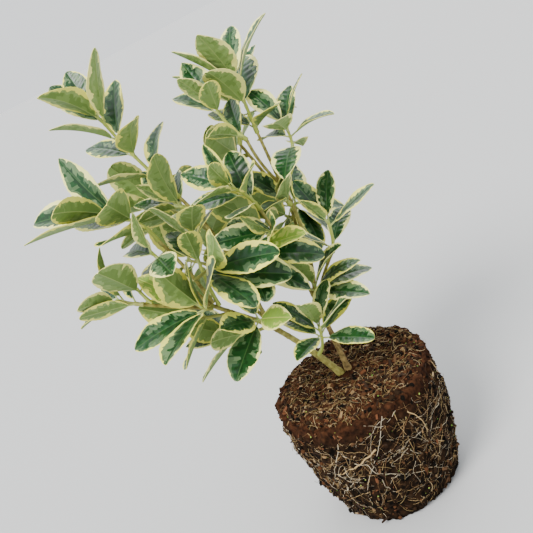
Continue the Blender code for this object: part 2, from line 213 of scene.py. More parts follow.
def fill(tree, node, inputs):
    """Set each input of a node to a value, or link it to another node's output."""
    for name, value in inputs.items():
        if isinstance(value, bpy.types.NodeSocket):
            tree.links.new(value, node.inputs[name])
        else:
            node.inputs[name].default_value = value


def add_node(tree, kind, inputs, **settings):
    node = tree.nodes.new("ShaderNode" + kind)
    for name, value in settings.items():
        setattr(node, name, value)
    fill(tree, node, inputs)
    return node


def new_finish(name, roughness, shine):
    """A material, its nodes and its surface."""
    finish = bpy.data.materials.new(name)
    finish.use_nodes = True
    surface = finish.node_tree.nodes["Principled BSDF"]
    fill(finish.node_tree, surface, {"Roughness": roughness, "Specular IOR Level": shine})
    return finish, finish.node_tree, surface


def noise_mix(tree, colour_a, colour_b, scale, low, high, detail=4.0):
    """Two colours mixed by noise on Object coordinates."""
    spot = add_node(tree, "TexCoord", {}).outputs["Object"]
    grain = add_node(tree, "TexNoise", {"Vector": spot, "Scale": scale, "Detail": detail})
    ramp = add_node(tree, "ValToRGB", {"Fac": grain.outputs["Fac"]})
    for element, position, colour in zip(ramp.color_ramp.elements, (low, high), (colour_a, colour_b)):
        element.position = position
        element.color = (*colour, 1.0)
    return ramp.outputs["Color"]


def relief_on(tree, surface, scale, detail, strength, height):
    """Fine relief on a surface, from noise on Object coordinates."""
    spot = add_node(tree, "TexCoord", {}).outputs["Object"]
    grit = add_node(tree, "TexNoise", {"Vector": spot, "Scale": scale, "Detail": detail})
    bump = add_node(tree, "Bump", {"Height": grit.outputs["Fac"], "Strength": strength, "Distance": height})
    fill(tree, surface, {"Normal": bump.outputs["Normal"]})


# The moist and the dried compost: two colours, the scale of the noise that mixes them, its limits.
MOIST = ((0.002, 0.0015, 0.001), (0.030, 0.015, 0.007), 190.0, 0.38, 0.74)
DRIED = ((0.022, 0.008, 0.004), (0.11, 0.040, 0.017), 260.0, 0.36, 0.7)
DRIED_FROM = 0.100
DRIED_TO = 0.120
DRIED_SHARE = 0.55
# Its fine relief: scale, detail, strength and height.
GRIT = (900.0, 6.0, 0.6, 0.0008)

compost, tree, surface = new_finish("moist_compost", 0.92, 0.06)
spot = add_node(tree, "TexCoord", {}).outputs["Object"]
rise = add_node(tree, "SeparateXYZ", {"Vector": spot}).outputs["Z"]
band = add_node(tree, "MapRange", {"Value": rise, "From Min": DRIED_FROM, "From Max": DRIED_TO})
fade = add_node(tree, "Math", {0: band.outputs["Result"], 1: DRIED_SHARE}, operation="MULTIPLY")
blend = add_node(tree, "Mix", {}, data_type="RGBA")
moist, dried = noise_mix(tree, *MOIST), noise_mix(tree, *DRIED)
fill(tree, blend, {"Factor": fade.outputs["Value"], "A": moist, "B": dried})
fill(tree, surface, {"Base Color": blend.outputs["Result"]})
relief_on(tree, surface, *GRIT)
ball.data.materials.append(compost)
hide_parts("root_ball")
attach(ball, "root")


# Bark chips: flat splinters of tan, brown and red bark mixed into the compost. They lie loose on
# the ball's top, tipped every way, and stick to its side.
CHIP_COUNT = 1500
CHIPS_ON_TOP = 1050
CHIP_HEIGHTS = (0.004, 0.119)
CHIP_LENGTH = (0.0012, 0.0052)
LONG_CHIP = 1.9
LONG_CHIP_SHARE = 0.12
CHIP_WIDTH = (0.18, 0.45)
CHIP_THICKNESS = (0.0003, 0.0009)
CHIP_TIP = (-0.25, 0.4)
CHIP_JITTER = (0.6, 1.0)
CHIP_LIFT = 0.6
CHIP_SHARES = (0.12, 0.26, 0.4, 0.16, 0.06)
CHIP_CORNERS = ((-1, -1), (1, -1), (1, 1), (-1, 1))
CHIP_FACES = ((0, 3, 2, 1), (4, 5, 6, 7), (0, 1, 5, 4), (1, 2, 6, 5), (2, 3, 7, 6), (3, 0, 4, 7))
CHIP_SEED = 41
CHIP_SHARP = 30.0


def tree_of(mesh):
    return BVHTree.FromPolygons([v.co for v in mesh.vertices], [p.vertices for p in mesh.polygons])


ball_tree = tree_of(ball.data)


class Heap:
    """Many small shapes gathered as one mesh, each with the number of its material."""

    def __init__(self):
        self.points, self.faces, self.slots, self.count = [], [], [], 0

    def add(self, points, faces, slots):
        self.points.append(np.asarray(points, float))
        self.faces += [tuple(int(k) + self.count for k in face) for face in faces]
        self.slots += [slots] * len(faces) if isinstance(slots, int) else [int(s) for s in slots]
        self.count += len(points)

    def make(self, name, finishes, sharp=60.0):
        mesh = bpy.data.meshes.new(name)
        mesh.from_pydata(np.concatenate(self.points).tolist(), [], self.faces)
        for finish in finishes:
            mesh.materials.append(finish)
        mesh.polygons.foreach_set("material_index", self.slots)
        mesh.shade_smooth()
        mesh.set_sharp_from_angle(angle=radians(sharp))
        obj = bpy.data.objects.new(name, mesh)
        bpy.context.scene.collection.objects.link(obj)
        return obj


def plain(name, colour, roughness, shine=0.4):
    """A finish of one plain colour."""
    finish, tree, surface = new_finish(name, roughness, shine)
    fill(tree, surface, {"Base Color": (*colour, 1.0)})
    return finish


def on_side(turn, height):
    """The place on the ball's side at a heading and a height, and the way out of it."""
    outward = Vector((cos(turn), sin(turn), 0.0))
    spot, normal, _, _ = ball_tree.ray_cast(Vector((0.0, 0.0, height)) + outward * 0.1, -outward)
    return spot, normal


def scatter(draw, count, on_top, heights, reach=0.066):
    """Random places on the ball: the first on its top within reach, the rest on its side."""
    for i in range(count):
        turn = draw.uniform(0, 2 * pi)
        if i < on_top:
            out = reach * sqrt(draw.uniform(0.02, 1))
            above = Vector((out * cos(turn), out * sin(turn), 0.2))
            spot, normal, _, _ = ball_tree.ray_cast(above, Vector((0, 0, -1)))
        else:
            spot, normal = on_side(turn, draw.uniform(*heights))
        if spot is not None:
            yield spot, normal


def flat_frame(normal, draw):
    """Two ways that lie flat on the ball at right angles to each other, the first at random."""
    ahead = normal.cross(Vector(draw.normal(size=3))).normalized()
    return ahead, normal.cross(ahead)


draw = np.random.default_rng(CHIP_SEED)
chips = Heap()
for spot, normal in scatter(draw, CHIP_COUNT, CHIPS_ON_TOP, CHIP_HEIGHTS):
    ahead, aside = flat_frame(normal, draw)
    long = draw.uniform(*CHIP_LENGTH) * (LONG_CHIP if draw.uniform() < LONG_CHIP_SHARE else 1.0)
    wide, thick = long * draw.uniform(*CHIP_WIDTH), draw.uniform(*CHIP_THICKNESS)
    ahead = (ahead + normal * draw.uniform(*CHIP_TIP)).normalized()
    corners = []
    for face_sign in (-1, 1):
        for p, q in CHIP_CORNERS:
            jitter = draw.uniform(*CHIP_JITTER, 3)
            corner = spot + ahead * (p * long / 2 * jitter[0]) + aside * (q * wide / 2 * jitter[1])
            corners.append(corner + normal * (face_sign * thick * jitter[2] + thick * CHIP_LIFT))
    chips.add(corners, CHIP_FACES, int(draw.choice(len(CHIP_SHARES), p=CHIP_SHARES)))
CHIP_FINISHES = [
    plain("bark_tan", (0.220, 0.135, 0.060), 0.85, 0.15),
    plain("bark_brown", (0.100, 0.050, 0.022), 0.85, 0.15),
    plain("bark_dark", (0.026, 0.014, 0.008), 0.9, 0.15),
    plain("bark_red", (0.130, 0.048, 0.020), 0.85, 0.15),
    plain("bark_pale", (0.340, 0.240, 0.130), 0.85, 0.15),
]
chip_piece = chips.make("root_ball_bark_chips", CHIP_FINISHES, CHIP_SHARP)
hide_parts("root_ball")
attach(chip_piece, "root")


# Crumbs: small dark clods of compost, most of them very small, that have come loose from the ball
# and lie on its top and cling to its side.
CRUMB_COUNT = 2600
CRUMBS_ON_TOP = 1500
CRUMB_HEIGHTS = (0.003, 0.121)
CRUMB_REACH = 0.0675
LEAST_CRUMB = 0.0004
CRUMB_SPREAD = 0.0024
CRUMB_JITTER = (0.6, 1.25)
CRUMB_SHARES = (0.5, 0.35, 0.15)
CRUMB_SHARP = 80.0
# A ball of twenty faces, whose points are moved in and out for each crumb.
LUMP = (
    (0, 0, -1), (0.894, 0, -0.447), (0.276, 0.851, -0.447), (-0.724, 0.526, -0.447),
    (-0.724, -0.526, -0.447), (0.276, -0.851, -0.447), (0.724, 0.526, 0.447), (-0.276, 0.851, 0.447),
    (-0.894, 0, 0.447), (-0.276, -0.851, 0.447), (0.724, -0.526, 0.447), (0, 0, 1),
)
LUMP_FACES = []
for i in range(5):
    a, b = 1 + i, 1 + (i + 1) % 5
    LUMP_FACES += [(0, b, a), (a, b, a + 5), (b, b + 5, a + 5), (a + 5, b + 5, 11)]

crumbs = Heap()
for spot, normal in scatter(draw, CRUMB_COUNT, CRUMBS_ON_TOP, CRUMB_HEIGHTS, CRUMB_REACH):
    size = LEAST_CRUMB + CRUMB_SPREAD * draw.uniform() ** 3
    shape = [spot + Vector(p) * size * draw.uniform(*CRUMB_JITTER) for p in LUMP]
    crumbs.add(shape, LUMP_FACES, int(draw.choice(len(CRUMB_SHARES), p=CRUMB_SHARES)))
CRUMB_FINISHES = [
    plain("crumb_black", (0.004, 0.003, 0.002), 0.95, 0.08),
    plain("crumb_brown", (0.022, 0.012, 0.006), 0.95, 0.08),
    plain("crumb_rust", (0.070, 0.030, 0.013), 0.95, 0.08),
]
crumb_piece = crumbs.make("root_ball_crumbs", CRUMB_FINISHES, CRUMB_SHARP)
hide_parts("root_ball")
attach(crumb_piece, "root")


# Fibres: short curled threads of peat and dead root, tan to straw coloured, that lie matted on the
# loose top of the ball and here and there on its side. Each is a thin rod that arches off it.
FIBRE_COUNT = 1150
FIBRES_ON_TOP = 900
FIBRE_HEIGHTS = (0.01, 0.118)
FIBRE_LENGTH = (0.003, 0.013)
FIBRE_CURL = (-2.5, 2.5)
FIBRE_ARCH = (0.0002, 0.0016)
FIBRE_LIFT = 0.0003
FIBRE_RADIUS = (0.00007, 0.00020)
FIBRE_POINTS = 6
FIBRE_SIDES = 4
FIBRE_SHARES = (0.5, 0.3, 0.2)
THREAD_SHARP = 120.0


def tube_faces(rings, sides):
    """Faces of the wall of a tube, ring by ring."""
    wall = []
    for i in range(rings - 1):
        for k in range(sides):
            a, b = i * sides + k, i * sides + (k + 1) % sides
            wall.append((a, b, b + sides, a + sides))
    return wall


def sweep(path, radii, sides, rough=0.0, grain=500.0):
    """A round rod along a path, closed at both ends, with bark relief where rough is above zero."""
    path, radii = np.asarray(path, float), np.asarray(radii, float)
    ahead = np.gradient(path, axis=0)
    ahead /= np.linalg.norm(ahead, axis=1)[:, None]
    side = np.cross(ahead[0], (0.31, 0.22, 0.925))
    turns = np.arange(sides) * 2 * pi / sides
    rings = []
    for centre, radius, way in zip(path, radii, ahead):
        side = side - way * side.dot(way)
        side /= np.linalg.norm(side)
        other = np.cross(way, side)
        spokes = np.cos(turns)[:, None] * side + np.sin(turns)[:, None] * other
        reach = np.full(sides, radius)
        if rough:
            for k in range(sides):
                reach[k] *= 1 + rough * noise.noise(Vector(spokes[k] * 2.2 + centre * grain))
        rings.append(centre + spokes * reach[:, None])
    points = np.concatenate(rings + [path[:1], path[-1:]])
    faces = tube_faces(len(path), sides)
    last = (len(path) - 1) * sides
    start, end = len(path) * sides, len(path) * sides + 1
    faces += [(start, (k + 1) % sides, k) for k in range(sides)]
    faces += [(end, last + k, last + (k + 1) % sides) for k in range(sides)]
    return points, faces


fibres = Heap()
for spot, normal in scatter(draw, FIBRE_COUNT, FIBRES_ON_TOP, FIBRE_HEIGHTS):
    ahead, aside = flat_frame(normal, draw)
    long, curl = draw.uniform(*FIBRE_LENGTH), draw.uniform(*FIBRE_CURL)
    arch = draw.uniform(*FIBRE_ARCH)
    path = []
    for step in range(FIBRE_POINTS):
        t = step / (FIBRE_POINTS - 1) - 0.5
        way = ahead * t * long + aside * curl * t * t * long * 0.5
        path.append(spot + way + normal * (FIBRE_LIFT + arch * (1 - 4 * t * t)))
    radius = draw.uniform(*FIBRE_RADIUS)
    rod = sweep(path, [radius] * FIBRE_POINTS, FIBRE_SIDES)
    fibres.add(*rod, int(draw.choice(len(FIBRE_SHARES), p=FIBRE_SHARES)))
FIBRE_FINISHES = [
    plain("fibre_tan", (0.250, 0.175, 0.070), 0.8, 0.2),
    plain("fibre_brown", (0.120, 0.065, 0.028), 0.8, 0.2),
    plain("fibre_straw", (0.440, 0.330, 0.180), 0.8, 0.2),
]
fibre_piece = fibres.make("root_ball_fibres", FIBRE_FINISHES, THREAD_SHARP)
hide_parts("root_ball")
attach(fibre_piece, "root")


# Roots: white, tan and brown threads that ran down and round the wall of the pot, and now lie
# crossed as a net on the side of the ball, with a few thick ones among them. They hold it together.
ROOT_COUNT = 700
LONG_ROOTS = 170
ROOT_STEP = 0.0025
ROOT_ROUND = 0.065
ROOT_LIFT = 0.0001
ROOT_LIMITS = (0.003, 0.121)
LEAST_POINTS = 4
SHORT_ROOT = (0.010, 0.045)
SHORT_ROOT_FROM = (0.01, 0.113)
SHORT_ROOT_STRAY = 0.24
LONG_ROOT = (0.06, 0.13)
LONG_ROOT_FROM = (0.08, 0.116)
LONG_ROOT_STRAY = 0.1
THINNEST_ROOT = 0.00009
ROOT_SPREAD = 0.00021
ROOT_TAPER = 0.6
ROOT_LEAN = (-1.1, 0.9)
# How fast a root runs down, from straight down to a little upwards, and the share of each.
ROOT_DROPS = (1.0, 0.6, 0.2, -0.4)
DROP_SHARES = (0.45, 0.25, 0.18, 0.12)
ROOT_SHARES = (0.3, 0.42, 0.28)
# Each thick root: the heading and height it starts from, its length, lean and radius.
THICK_ROOTS = (
    (-1.72, 0.09, 0.05, -1.0, 0.0008),
    (-0.35, 0.108, 0.085, 0.3, 0.0007),
    (-1.2, 0.105, 0.075, 0.5, 0.0005),
    (2.6, 0.1, 0.08, -0.4, 0.0007),
    (1.2, 0.1, 0.06, 0.6, 0.0006),
)
THICK_ROOT_DROP = 0.9
THICK_ROOT_TAPER = 0.5
THICK_ROOT_ROUGH = 0.25
THICK_ROOT_GRAIN = 700.0


def root_path(draw, turn, height, long, drop, lean, stray):
    """Points of a root that wanders over the side of the ball, mostly downwards."""
    path = []
    for step in range(int(long / ROOT_STEP)):
        spot, normal = on_side(turn, height)
        if spot is None:
            break
        path.append(spot + normal * ROOT_LIFT)
        lean += draw.normal() * stray
        turn += sin(lean) * ROOT_STEP / ROOT_ROUND
        height -= cos(lean) * ROOT_STEP * drop
        if not ROOT_LIMITS[0] < height < ROOT_LIMITS[1]:
            break
    return path


roots = Heap()
for i in range(ROOT_COUNT):
    far = i < LONG_ROOTS
    long = draw.uniform(*(LONG_ROOT if far else SHORT_ROOT))
    thick = THINNEST_ROOT + ROOT_SPREAD * draw.uniform() ** 2.5
    drop = draw.choice(ROOT_DROPS, p=DROP_SHARES)
    turn = draw.uniform(0, 2 * pi)
    height = draw.uniform(*(LONG_ROOT_FROM if far else SHORT_ROOT_FROM))
    lean = draw.uniform(*ROOT_LEAN)
    drop, stray = (abs(drop), LONG_ROOT_STRAY) if far else (drop, SHORT_ROOT_STRAY)
    path = root_path(draw, turn, height, long, drop, lean, stray)
    if len(path) < LEAST_POINTS:
        continue
    radii = [thick * (1 - ROOT_TAPER * k / len(path)) for k in range(len(path))]
    roots.add(*sweep(path, radii, 4), int(draw.choice(len(ROOT_SHARES), p=ROOT_SHARES)))
for turn, height, long, lean, thick in THICK_ROOTS:
    path = root_path(draw, turn, height, long, THICK_ROOT_DROP, lean, LONG_ROOT_STRAY)
    radii = [thick * (1 - THICK_ROOT_TAPER * k / len(path)) for k in range(len(path))]
    roots.add(*sweep(path, radii, 8, THICK_ROOT_ROUGH, THICK_ROOT_GRAIN), 1)
ROOT_FINISHES = [
    plain("root_white", (0.560, 0.480, 0.340), 0.6, 0.3),
    plain("root_tan", (0.400, 0.270, 0.120), 0.65, 0.3),
    plain("root_brown", (0.160, 0.085, 0.035), 0.7, 0.2),
]
root_piece = roots.make("root_ball_root_net", ROOT_FINISHES, THREAD_SHARP)
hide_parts("root_ball")
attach(root_piece, "root")


# Moss: bright green specks, soft and living, that have come up on the moist side of the ball and
# here and there on its top. They cling to the compost.
MOSS_COUNT = 150
MOSS_ON_TOP = 40
MOSS_HEIGHTS = (0.02, 0.12)
MOSS_SIZE = (0.0003, 0.0009)
MOSS_JITTER = (0.5, 1.3)
MOSS_FINISHES = [
    plain("moss_green", (0.12, 0.26, 0.03), 0.8),
    plain("moss_yellow", (0.27, 0.38, 0.06), 0.8),
]

moss = Heap()
for spot, normal in scatter(draw, MOSS_COUNT, MOSS_ON_TOP, MOSS_HEIGHTS):
    size = draw.uniform(*MOSS_SIZE)
    shape = [spot + Vector(p) * size * draw.uniform(*MOSS_JITTER) for p in LUMP]
    moss.add(shape, LUMP_FACES, int(draw.choice(len(MOSS_FINISHES))))
moss_piece = moss.make("root_ball_moss", MOSS_FINISHES, CRUMB_SHARP)
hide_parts("root_ball")
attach(moss_piece, "root")


# Stems and boughs: two woody stems grow out of the compost and fork into boughs. The older stem
# has brown bark with fine ridges, the others are olive green, with a ring at each joint where
# leaves once sat, and a swelling where a bough leaves its parent.
MM = 0.001
GAP = 0.0003
STEM_FEET = {"stem_brown": (0.0020, 0.0), "stem_olive": (-0.0064, 0.0)}
FOOT_RISE = 0.003
FOOT_SUNK = 0.0015
LIMB_STEP = 0.009
# The bark starts this many radii inside the parent, and ends a little inside what grows on.
SUNK = 1.4
END_REACH = 1.5
FINE_STEP = 0.9
RING_START = 0.12
RING_SPACING = 13.0
# Each swelling: its share of the radius, and its length in millimetres.
RING = (0.11, 0.9)
COLLAR = (0.28, 2.8)
BARK_SIDES = 14
BARK_GRAIN = 420.0
BROWN_ROUGH = 0.22
OLIVE_ROUGH = 0.12
BARK_SHARP = 80.0
# Each bark: deep and pale colour, the scale of the noise that mixes them, and roughness.
BROWN_BARK = ((0.080, 0.050, 0.016), (0.330, 0.230, 0.080), 330.0, 0.8)
OLIVE_BARK = ((0.17, 0.14, 0.03), (0.40, 0.37, 0.10), 260.0, 0.6)
BARK_MIX = (0.34, 0.68, 6.0)
BARK_SHINE = 0.3
BARK_RELIEF = (5.0, 0.5, 0.0004)
# Angles in degrees, lengths in millimetres: heading from +X towards +Y, rise from level, and how
# much the two change along the limb. Back is the distance from the parent's tip.
Limb = namedtuple("Limb", "name parent back heading rise sweep arch length foot tip")
LIMBS = [Limb(*row) for row in (
    ("stem_brown", "", 0, 67, 85, 2, 0, 74, 2.6, 1.8),
    ("stem_olive", "", 0, -159, 70, -1, -11, 92, 3.0, 2.1),
    ("bough_low_left", "stem_olive", 0, -144, 50, -1, 2, 55, 2.0, 1.7),
    ("bough_long_left", "stem_olive", 9, 95, 90, 47, -25, 123, 1.8, 1.4),
    ("bough_left_upper", "bough_low_left", 6, 144, 84, 3, -17, 63, 1.6, 1.3),
    ("bough_left_front", "bough_low_left", 0, -134, 72, -1, 0, 44, 1.5, 1.3),
    ("bough_left_end", "bough_low_left", 10, -176, 32, 16, 9, 53, 1.5, 1.3),
    ("bough_mid", "stem_brown", 0, -111, 82, -3, -7, 97, 1.7, 1.4),
    ("bough_top", "stem_brown", 5, 24, 66, 10, 29, 100, 1.7, 1.4),
    ("bough_top_left", "bough_top", 7, -128, 58, -12, 33, 46, 1.3, 1.2),
    ("bough_top_right", "bough_top", 0, 77, 79, 1, 0, 40, 1.3, 1.2),
    ("bough_right", "stem_brown", 10, -1, 58, -3, -18, 42, 1.5, 1.3),
    ("bough_back", "stem_brown", 15, 67, 54, 2, 4, 84, 1.6, 1.3),
    ("bough_back_left", "stem_olive", 16, 117, 44, 1, 9, 83, 1.6, 1.3),
    ("bough_back_high", "bough_top", 30, 113, 60, 0, 0, 65, 1.5, 1.3),
)]


def way_at(shape, t):
    """The way that a limb or shoot points at a fraction of its length."""
    h, r = radians(shape.heading + shape.sweep * t), radians(shape.rise + shape.arch * t)
    return Vector((cos(r) * cos(h), cos(r) * sin(h), sin(r)))


def grow_path(start, shape, steps):
    """Points along a limb, whose heading and rise turn evenly from its foot to its tip."""
    points = [start.copy()]
    for i in range(steps):
        way = way_at(shape, (i + 0.5) / steps)
        points.append(points[-1] + way * (shape.length * MM / steps))
    return points


def leave_parent(parent, back, way, radius):
    """Start of a limb that sets off from its parent this way, just clear of the parent's surface."""
    t = 1.0 - back / parent["limb"].length
    along = t * (len(parent["path"]) - 1)
    i = min(int(along), len(parent["path"]) - 2)
    here = parent["path"][i].lerp(parent["path"][i + 1], along - i)
    thick = parent["foot"] + (parent["tip"] - parent["foot"]) * t
    cosine = max(-1.0, min(1.0, way_at(parent["limb"], t).dot(way)))
    sine = sqrt(1.0 - cosine ** 2)
    if back == 0:
        return here + way * (GAP + radius * sine) / cosine
    return here + way * (thick + GAP + radius * abs(cosine)) / sine


def bark_radii(path, fine, length, foot, change, collar, joints, ring):
    """Radii along a limb or shoot, with a collar at its foot and a ring at each joint."""
    radii = []
    for k in range(len(path)):
        t = max(0.0, (k - 1) / fine)
        radius = (foot + change * min(1.0, t)) * (1 + collar[0] * np.exp(-t * length / collar[1]))
        rings = [np.exp(-((t - joint) * length / ring[1]) ** 2) for joint in joints]
        radii.append(radius * (1 + ring[0] * sum(rings)))
    return radii


grown = {}
brown_bark, olive_bark = Heap(), Heap()
for limb in LIMBS:
    foot, tip = limb.foot * MM, limb.tip * MM
    way = way_at(limb, 0)
    steps = round(limb.length * MM / LIMB_STEP)
    if limb.parent:
        start = leave_parent(grown[limb.parent], limb.back, way, foot)
        sunk = foot * SUNK
    else:
        start = Vector((*STEM_FEET[limb.name], BALL_HEIGHT + GAP + FOOT_RISE))
        sunk = FOOT_RISE + FOOT_SUNK
    grown[limb.name] = {"limb": limb, "path": grow_path(start, limb, steps), "foot": foot, "tip": tip}
    fine = int(limb.length / FINE_STEP)
    path = [start - way * sunk] + grow_path(start, limb, fine)
    path.append(path[-1] + (path[-1] - path[-2]).normalized() * GAP * END_REACH)
    joints = np.arange(RING_START, 1.0, RING_SPACING / limb.length)
    radii = bark_radii(path, fine, limb.length, foot, tip - foot, COLLAR, joints, RING)
    if limb.name == "stem_brown":
        brown_bark.add(*sweep(path, radii, BARK_SIDES, BROWN_ROUGH, BARK_GRAIN), 0)
    else:
        olive_bark.add(*sweep(path, radii, BARK_SIDES, OLIVE_ROUGH, BARK_GRAIN), 0)


def bark_finish(name, deep, pale, scale, roughness):
    """Bark mottled between two colours, with fine relief."""
    finish, tree, surface = new_finish(name, roughness, BARK_SHINE)
    fill(tree, surface, {"Base Color": noise_mix(tree, deep, pale, scale, *BARK_MIX)})
    relief_on(tree, surface, scale * 3, *BARK_RELIEF)
    return finish


brown_finish = bark_finish("brown_stem_bark", *BROWN_BARK)
brown_piece = brown_bark.make("stem_brown_bark", [brown_finish], BARK_SHARP)
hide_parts("stem_brown")
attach(brown_piece, "root")
olive_finish = bark_finish("olive_bough_bark", *OLIVE_BARK)
olive_piece = olive_bark.make("stem_olive_and_boughs", [olive_finish], BARK_SHARP)
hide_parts(*[limb.name for limb in LIMBS if limb.name != "stem_brown"])
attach(olive_piece, "root")


# Shoots: the green stems of this year and last, each from its bough to a pointed bud at the tip,
# with a slight swelling at each joint. Every shoot carries pairs of leaves that cross each other.
TWIG_FOOT = 0.0014
TWIG_TIP = 0.0009
TWIG_STEPS = 16
TWIG_SKIP = 4
TWIG_FINE_STEP = 0.8
LEAST_TWIG_FINE = 16
TWIG_BARK = 1.12
TWIG_COLLAR = (0.25, 2.2)
TWIG_RING = (0.2, 1.1)
TWIG_SIDES = 10
TWIG_ROUGH = 0.08
TWIG_GRAIN = 500.0
BUD = 0.0035
BUD_POINT = 0.4
# Outline of a bud: how far along it, and how wide there, both in lengths of the bud.
BUD_ALONG = (-0.2, 0.0, 0.25, 0.5, 0.75, 0.92, 1.0)
BUD_WIDTHS = (0.2, 0.3, 0.36, 0.3, 0.18, 0.07, 0.02)
BUD_SIDES = 8
BUD_SHARP = 120.0
PAIR_GAP = 0.004
MOST_GAP = 0.3
CROWDING = 0.85
# A shoot that sets off lower than this, in degrees, has ripened to olive.
LOW_RISE = 30
SHOOT_FINISHES = [
    plain("shoot_yellow_green", (0.36, 0.42, 0.07), 0.5),
    plain("shoot_olive", (0.26, 0.27, 0.06), 0.55),
]
BUD_FINISHES = [plain("bud_green", (0.30, 0.40, 0.09), 0.45)]
# The pairs start at the fraction first of the shoot. The first stands at the angle phase round it.
# Spread and close are the angles between shoot and leaf at the first and the last pair.
Shoot = namedtuple("Shoot", "name parent back heading rise sweep arch length "
                            "pairs first phase leaf spread close seed")
SHOOTS = [Shoot(*row) for row in (
    ("foliage_high_left", "bough_long_left", 0, 177, 69, 17, 10, 81, 5, 0.29, 51, 46, 45, 30, 18),
    ("foliage_mid_left", "bough_long_left", 15, -177, 39, -40, 22, 6, 3, 0.61, 1, 38, 57, 20, 77),
    ("foliage_round_pair", "bough_low_left", 12, 81, 89, -37, -29, 56, 3, 0.60, 43, 38, 35, 43, 66),
    ("foliage_far_left", "bough_left_upper", 0, -132, 80, -49, -42, 39, 4, 0.23, 67, 52, 57, 21, 30),
    ("foliage_front_left", "bough_left_front", 0, -128, 61, -4, 11, 21, 2, 0.37, 37, 38, 81, 25, 40),
    ("foliage_end_left", "bough_left_end", 0, 162, 26, 0, 14, 17, 3, 0.22, 8, 38, 45, 53, 98),
    ("foliage_low_left", "bough_low_left", 3, -99, 4, -58, 58, 13, 3, 0.70, 167, 49, 60, 20, 3),
    ("foliage_low_mid", "stem_olive", 2, -97, 37, -2, -3, 18, 2, 0.55, 107, 42, 51, 29, 32),
    ("foliage_hanging", "stem_olive", 7, 154, -13, 31, 45, 30, 3, 0.42, 124, 38, 59, 20, 10),
    ("foliage_low_right", "stem_olive", 64, -60, 36, -4, 41, 37, 4, 0.70, 71, 38, 81, 20, 30),
    ("foliage_fork_right", "stem_brown", 4, -50, 50, 0, 30, 10, 4, 0.33, 105, 44, 67, 25, 27),
    ("foliage_right", "bough_right", 0, -40, 61, -18, 20, 28, 3, 0.10, 166, 38, 58, 26, 6),
    ("foliage_top", "bough_top_right", 0, -27, 87, 35, -3, 41, 4, 0.05, 113, 45, 55, 20, 16),
    ("foliage_top_left", "bough_top_left", 0, 146, 55, -1, 28, 31, 3, 0.05, 178, 38, 53, 29, 30),
    ("foliage_mid", "bough_mid", 0, -114, 69, -49, -18, 30, 4, 0.17, 70, 38, 49, 23, 38),
    ("foliage_high_mid", "bough_top", 28, -134, 62, 60, 2, 6, 4, 0.05, 26, 38, 35, 20, 23),
    ("foliage_inner_mid", "bough_mid", 35, -74, 48, -60, -29, 24, 3, 0.05, 92, 38, 39, 32, 8),
    ("foliage_high_right", "bough_top", 9, -21, 34, 21, 60, 49, 4, 0.70, 13, 38, 95, 28, 69),
    ("foliage_inner", "bough_long_left", 96, 46, 48, 52, 14, 11, 3, 0.05, 25, 38, 44, 31, 22),
    ("foliage_back_right", "bough_back", 0, 35, 30, -60, -13, 6, 4, 0.35, 147, 46, 95, 65, 5),
    ("foliage_back_low", "bough_back", 8, 111, 14, 22, 5, 6, 3, 0.43, 116, 46, 83, 55, 73),
    ("foliage_back_left", "bough_back_left", 8, 121, 15, 21, 4, 24, 4, 0.48, 107, 46, 71, 64, 44),
    ("foliage_back_mid", "bough_back_left", 0, 78, 31, -60, -13, 14, 4, 0.10, 170, 46, 89, 64, 72),
    ("foliage_back_high", "bough_back_high", 12, 153, 14, 2, 5, 10, 4, 0.43, 53, 46, 80, 64, 93),
    ("foliage_back_top", "bough_back_high", 0, 30, 64, 5, 7, 35, 4, 0.21, 31, 46, 76, 46, 7),
    ("foliage_back_far", "bough_long_left", 42, 109, 25, 22, 0, 66, 4, 0.59, 112, 46, 60, 63, 1),
    ("foliage_left_inner", "bough_left_upper", 42, -45, 20, 0, 0, 17, 3, 0.50, 55, 50, 60, 25, 21),
    ("foliage_centre", "bough_long_left", 72, -45, 15, 0, 20, 20, 3, 0.50, 30, 50, 60, 25, 692),
    ("foliage_low_reach", "bough_low_left", 25, -180, 20, 0, 0, 21, 2, 0.40, 35, 42, 60, 25, 433),
    ("foliage_end_upper", "bough_left_end", 8, 125, 55, 0, 10, 15, 2, 0.40, 10, 48, 60, 25, 243),
    ("foliage_mid_back", "bough_mid", 25, 125, 15, 0, 0, 13, 3, 0.40, 100, 42, 60, 25, 220),
)]


def pair_places(shoot):
    """Fractions of the twig at which its pairs sit. The last two are close together at the tip."""
    gap = min(MOST_GAP, PAIR_GAP / (shoot.length * MM))
    lower = shoot.pairs - 1
    if lower == 1:
        return [1.0 - gap, 1.0]
    stretch = 1.0 - gap - shoot.first
    return [shoot.first + stretch * (i / (lower - 1)) ** CROWDING for i in range(lower)] + [1.0]


def rod_tree(points, radii):
    """The six-sided rod that stands for a twig where leaves are tested for room."""
    curve = bpy.data.curves.new("rod", "CURVE")
    curve.dimensions = "3D"
    curve.bevel_depth = 1.0
    curve.bevel_resolution = 1
    curve.use_fill_caps = True
    spline = curve.splines.new("POLY")
    spline.points.add(len(points) - 1)
    for point, co, radius in zip(spline.points, points, radii):
        point.co = (*co, 1.0)
        point.radius = radius
    rod = bpy.data.objects.new("rod", curve)
    bpy.context.scene.collection.objects.link(rod)
    bpy.context.view_layer.update()
    mesh = bpy.data.meshes.new_from_object(rod.evaluated_get(bpy.context.evaluated_depsgraph_get()))
    found = tree_of(mesh)
    bpy.data.objects.remove(rod, do_unlink=True)
    bpy.data.meshes.remove(mesh)
    return found


